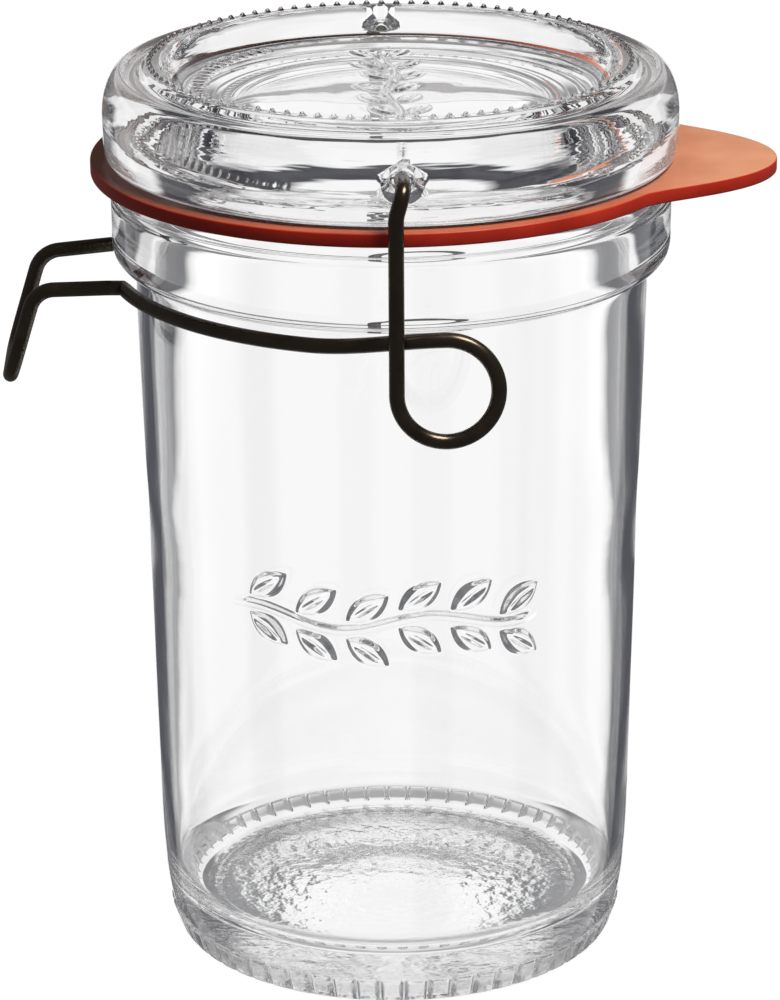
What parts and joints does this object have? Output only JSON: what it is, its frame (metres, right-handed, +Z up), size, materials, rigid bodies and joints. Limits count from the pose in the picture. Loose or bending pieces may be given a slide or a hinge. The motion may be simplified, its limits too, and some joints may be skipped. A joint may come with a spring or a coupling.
{
  "type": "bail clamp jar",
  "caption": "Tall straight glass storage jar with a glass lid, rubber sealing ring with pull tab, and a one-piece wire bail clamp that hooks under the collar.",
  "frame": {"origin": "middle of the jar's base, on the surface that it stands on", "axes": "+Z up along the jar's axis, +X towards the pull tab of the rubber ring, -X towards the clamp's handle, the clamp's pins along Y"},
  "size_m": [0.1348, 0.1106, 0.1621],
  "materials": {
    "glass": "clear pressed glass",
    "rubber": "smooth orange-red rubber",
    "wire": "dark bronze satin"
  },
  "bodies": {
    "jar": {"jar_body": "glass"},
    "seal": {"gasket": "rubber"},
    "lid": {"lid": "glass"},
    "clamp": {"clamp_wire": "wire"}
  },
  "joints": [
    {"name": "lid_lift", "type": "slide", "parent": "jar", "child": "lid", "axis": [0, 0, 1], "range_m": [0, 0.024]},
    {"name": "seal_lift", "type": "slide", "parent": "jar", "child": "seal", "axis": [0, 0, 1], "range_m": [0, 0.011]},
    {"name": "clamp_swing", "type": "hinge", "parent": "lid", "child": "clamp", "pos_m": [0, 0, 0.1528], "axis": [0, 1, 0], "range_deg": [0, 200]}
  ],
  "couplings": [
    {"joint": "clamp_swing", "follows": "lid_lift", "rad_per_m": 145.4},
    {"joint": "seal_lift", "follows": "lid_lift", "ratio": 0.458}
  ]
}
